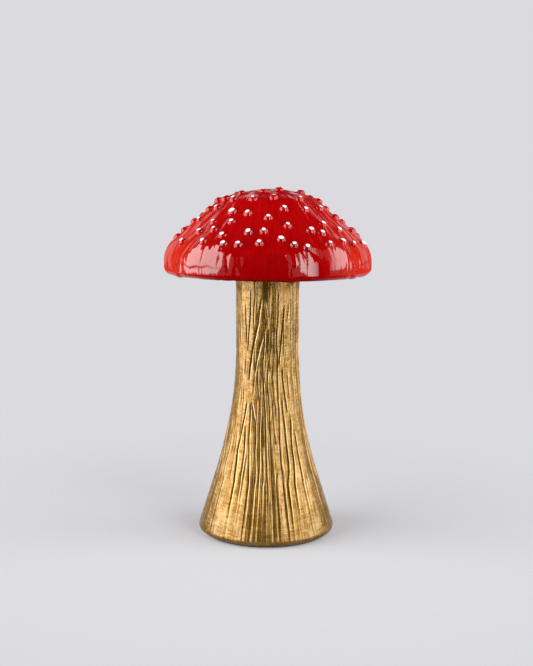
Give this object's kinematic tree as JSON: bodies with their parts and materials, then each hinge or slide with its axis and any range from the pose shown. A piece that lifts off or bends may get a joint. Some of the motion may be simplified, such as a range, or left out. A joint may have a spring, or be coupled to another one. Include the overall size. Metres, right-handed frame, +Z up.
{
  "type": "mushroom ornament",
  "caption": "Free-standing ceramic mushroom: a hollow domed cap set with glazed clay beads, cemented on a hollow flared stem with a felt pad under its foot.",
  "frame": {"origin": "on the table, under the middle of the foot, on the stem's axis", "axes": "+Z up along the stem, front faces -Y, +X to the right seen from the front"},
  "size_m": [0.178, 0.178, 0.3007],
  "materials": {
    "red_glaze": "deep red gloss glaze, brushed on",
    "bead_glaze": "the cap's red gloss glaze, each tip dotted with white",
    "gold_lustre": "satin antique gold over carved clay",
    "felt": "dark brown pressed felt",
    "cement": "pale grey ceramic cement"
  },
  "bodies": {
    "root": {"base_pad": "felt", "stem_shell": "gold_lustre", "socket_cement": "cement", "cap_shell": "red_glaze", "crown_beads": "bead_glaze", "brow_beads": "bead_glaze", "upper_flank_beads": "bead_glaze", "middle_flank_beads": "bead_glaze", "lower_flank_beads": "bead_glaze", "shoulder_beads": "bead_glaze"}
  },
  "joints": []
}
